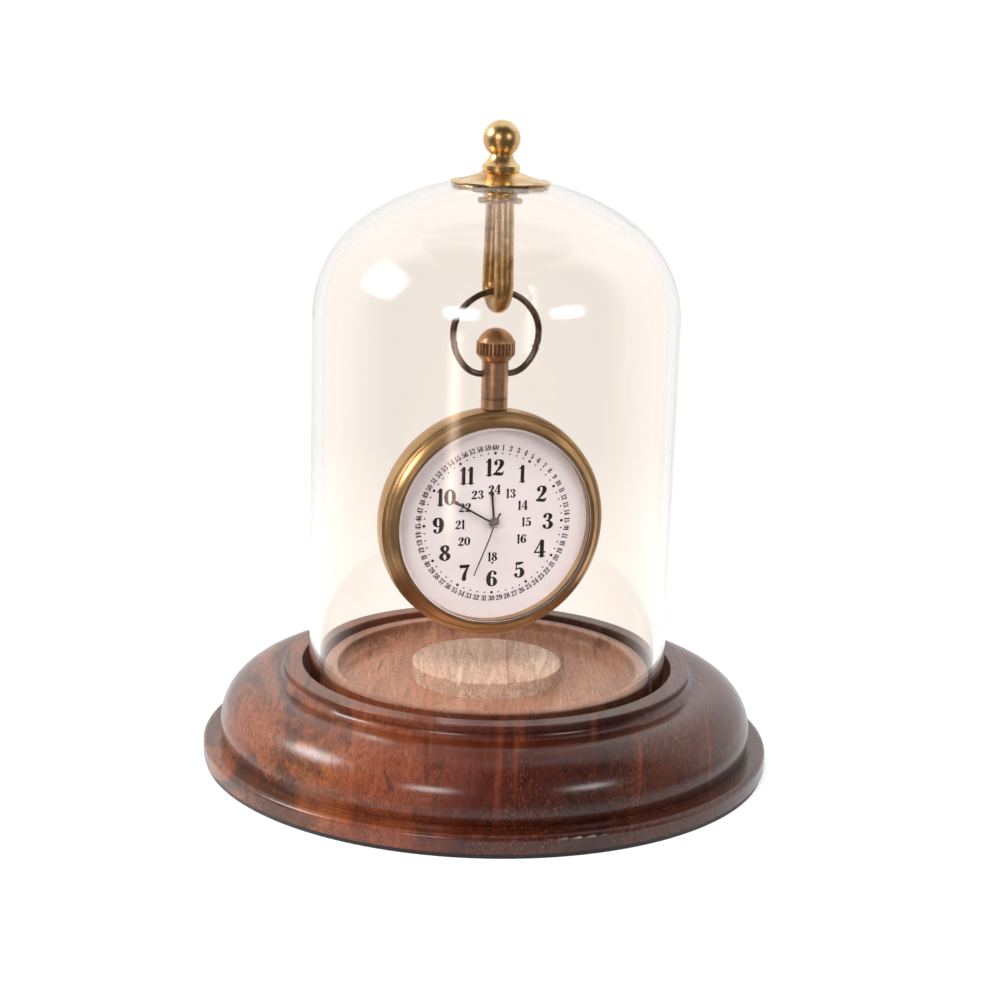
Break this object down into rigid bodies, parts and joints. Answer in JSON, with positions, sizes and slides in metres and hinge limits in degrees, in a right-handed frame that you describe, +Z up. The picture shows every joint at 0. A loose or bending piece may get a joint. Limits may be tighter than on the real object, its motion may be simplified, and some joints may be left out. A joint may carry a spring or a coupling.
{
  "type": "domed pocket watch clock",
  "caption": "Open-face pocket watch hanging by its bow from a brass eye inside a bell-shaped glass dome, on a round turned wooden base with a ball finial.",
  "frame": {"origin": "centre of the pad's underside, on the table", "axes": "+Z up along the dome's axis; the picture's viewer stands at -Y; +X to that viewer's right; the dial is turned 17 degrees to the left side of +X about Z"},
  "size_m": [0.121, 0.121, 0.1355],
  "materials": {
    "varnished_wood": "satin lacquer",
    "pad_felt": "felt",
    "dome_glass": "polished",
    "watch_glass": "polished",
    "clear_seal": "soft",
    "dark_seal": "matt",
    "aged_brass": "aged and polished",
    "case_brass": "brushed",
    "dark_bow": "worn",
    "dial_paint": "matt",
    "hand_black": "gloss",
    "movement_plastic": "moulded",
    "plate_brass": "machined",
    "wheel_plastic": "moulded",
    "bright_steel": "satin",
    "copper_wire": "enamelled"
  },
  "bodies": {
    "base": {"turned_base": "varnished_wood", "centre_disc": "varnished_wood", "felt_pad": "pad_felt"},
    "dome": {"glass_dome": "dome_glass", "dome_grommet": "clear_seal", "upper_washer": "dark_seal"},
    "hanger": {"hanging_eye": "aged_brass", "jam_nut": "aged_brass", "cap_disc": "aged_brass", "finial_knob": "aged_brass"},
    "bow": {"bow": "dark_bow"},
    "watch": {"case_band": "case_brass", "front_bezel": "case_brass", "back_cover": "case_brass", "crystal": "watch_glass", "crystal_gasket": "dark_seal", "pendant_tube": "case_brass", "dial": "dial_paint", "movement_ring": "movement_plastic", "main_plate": "plate_brass", "train_bridge": "plate_brass", "bridge_screws": "bright_steel", "coil": "copper_wire", "coil_core": "bright_steel", "stator": "bright_steel", "circuit_block": "movement_plastic", "quartz_can": "bright_steel", "battery": "bright_steel", "battery_clamp": "bright_steel"},
    "crown_seal": {"crown_gasket": "dark_seal"},
    "crown": {"crown": "case_brass", "winding_stem": "bright_steel"},
    "seconds": {"second_wheel": "plate_brass", "second_hand": "hand_black"},
    "third": {"third_wheel": "plate_brass"},
    "centre": {"centre_wheel": "plate_brass", "minute_hand": "hand_black"},
    "minute_work": {"minute_wheel": "plate_brass"},
    "hours": {"hour_wheel": "plate_brass", "hour_hand": "hand_black"},
    "intermediate": {"intermediate_wheel": "wheel_plastic"},
    "rotor": {"rotor": "bright_steel"}
  },
  "joints": [
    {"name": "dome_lift", "type": "slide", "parent": "base", "child": "dome", "axis": [0, 0, 1], "range_m": [0, 0.06]},
    {"name": "hanger_turn", "type": "hinge", "parent": "dome", "child": "hanger", "pos_m": [0, 0, 0.12388], "axis": [0, 0, 1], "continuous": true},
    {"name": "bow_swing", "type": "hinge", "parent": "hanger", "child": "bow", "pos_m": [0, 0, 0.09785], "axis": [0.2924, -0.9563, 0], "range_deg": [-9, 9]},
    {"name": "watch_pivot", "type": "hinge", "parent": "bow", "child": "watch", "pos_m": [0, 0, 0.0833], "axis": [0.9563, 0.2924, 0], "range_deg": [-12, 12]},
    {"name": "crown_pull", "type": "slide", "parent": "watch", "child": "crown_seal", "axis": [0, 0, 1], "range_m": [0, 0.001]},
    {"name": "crown_turn", "type": "hinge", "parent": "crown_seal", "child": "crown", "pos_m": [0, 0, 0.0833], "axis": [0, 0, 1], "continuous": true},
    {"name": "seconds_turn", "type": "hinge", "parent": "watch", "child": "seconds", "pos_m": [0, 0, 0.0516], "axis": [0.2924, -0.9563, 0], "continuous": true},
    {"name": "third_turn", "type": "hinge", "parent": "watch", "child": "third", "pos_m": [-0.00367, -0.00112, 0.05021], "axis": [0.2924, -0.9563, 0], "continuous": true},
    {"name": "centre_turn", "type": "hinge", "parent": "watch", "child": "centre", "pos_m": [0, 0, 0.0516], "axis": [0.2924, -0.9563, 0], "continuous": true},
    {"name": "minute_work_turn", "type": "hinge", "parent": "watch", "child": "minute_work", "pos_m": [0.00172, 0.00053, 0.05472], "axis": [0.2924, -0.9563, 0], "continuous": true},
    {"name": "hours_turn", "type": "hinge", "parent": "watch", "child": "hours", "pos_m": [0, 0, 0.0516], "axis": [0.2924, -0.9563, 0], "continuous": true},
    {"name": "intermediate_turn", "type": "hinge", "parent": "watch", "child": "intermediate", "pos_m": [0.00308, 0.00094, 0.0489], "axis": [0.2924, -0.9563, 0], "continuous": true},
    {"name": "rotor_turn", "type": "hinge", "parent": "watch", "child": "rotor", "pos_m": [0.00582, 0.00178, 0.0465], "axis": [0.2924, -0.9563, 0], "continuous": true}
  ],
  "couplings": [
    {"joint": "third_turn", "follows": "seconds_turn", "ratio": -0.13333},
    {"joint": "centre_turn", "follows": "seconds_turn", "ratio": 0.016667},
    {"joint": "minute_work_turn", "follows": "seconds_turn", "ratio": -0.0055556},
    {"joint": "hours_turn", "follows": "seconds_turn", "ratio": 0.0013889},
    {"joint": "intermediate_turn", "follows": "seconds_turn", "ratio": -4},
    {"joint": "rotor_turn", "follows": "seconds_turn", "ratio": 30}
  ]
}
